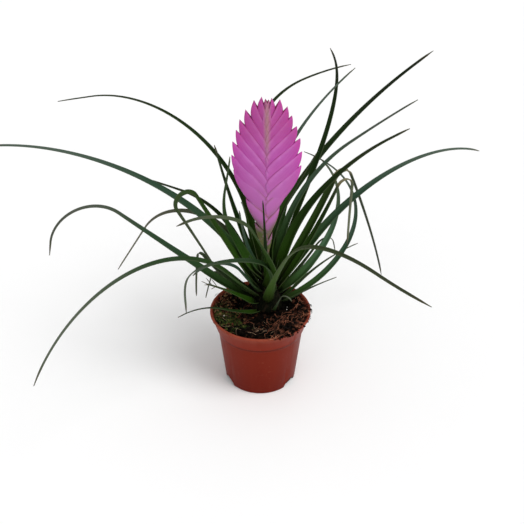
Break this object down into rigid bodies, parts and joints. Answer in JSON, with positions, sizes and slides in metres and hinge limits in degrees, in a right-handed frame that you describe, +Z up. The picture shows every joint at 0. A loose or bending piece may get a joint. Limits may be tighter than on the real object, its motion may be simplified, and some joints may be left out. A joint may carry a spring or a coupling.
{
  "type": "potted tillandsia",
  "caption": "Pink-quill air plant with long arching strap leaves and a flat pink bract spike, in a terracotta-coloured plastic nursery pot.",
  "frame": {"origin": "centre of the flat underside of the pot, on the surface that it stands on", "axes": "+Z up, +X to the right seen from the front, where the spike shows its flat face, +Y to the back"},
  "size_m": [0.4409, 0.4127, 0.2717],
  "materials": {
    "pot_plastic": "red-brown terracotta-coloured moulded plastic, satin",
    "bark_mix": "damp dark bark and coir potting mix with moss and white grains",
    "stem_tissue": "green to brown plant stem, waxy",
    "stalk_tissue": "pale green flower stalk, waxy",
    "bract_pink": "bright pink bracts, satin, darker at their edges",
    "leaf_green": "deep green leaf with a grey bloom, satin, yellow-green and streaked with brown at the base"
  },
  "bodies": {
    "root": {"pot": "pot_plastic", "soil": "bark_mix", "stem": "stem_tissue", "flower_stalk": "stalk_tissue", "flower_spike": "bract_pink", "leaf_01": "leaf_green", "leaf_02": "leaf_green", "leaf_03": "leaf_green", "leaf_04": "leaf_green", "leaf_05": "leaf_green", "leaf_06": "leaf_green", "leaf_07": "leaf_green", "leaf_08": "leaf_green", "leaf_09": "leaf_green", "leaf_10": "leaf_green", "leaf_11": "leaf_green", "leaf_12": "leaf_green", "leaf_13": "leaf_green", "leaf_14": "leaf_green", "leaf_15": "leaf_green", "leaf_16": "leaf_green", "leaf_17": "leaf_green", "leaf_18": "leaf_green", "leaf_19": "leaf_green", "leaf_20": "leaf_green", "leaf_21": "leaf_green", "leaf_22": "leaf_green", "leaf_23": "leaf_green", "leaf_24": "leaf_green", "leaf_25": "leaf_green", "leaf_26": "leaf_green", "leaf_27": "leaf_green", "leaf_28": "leaf_green", "leaf_29": "leaf_green", "leaf_30": "leaf_green", "leaf_31": "leaf_green", "leaf_32": "leaf_green", "leaf_33": "leaf_green", "leaf_34": "leaf_green", "leaf_35": "leaf_green", "leaf_36": "leaf_green", "leaf_37": "leaf_green", "leaf_38": "leaf_green", "leaf_39": "leaf_green", "leaf_40": "leaf_green", "leaf_41": "leaf_green"}
  },
  "joints": []
}
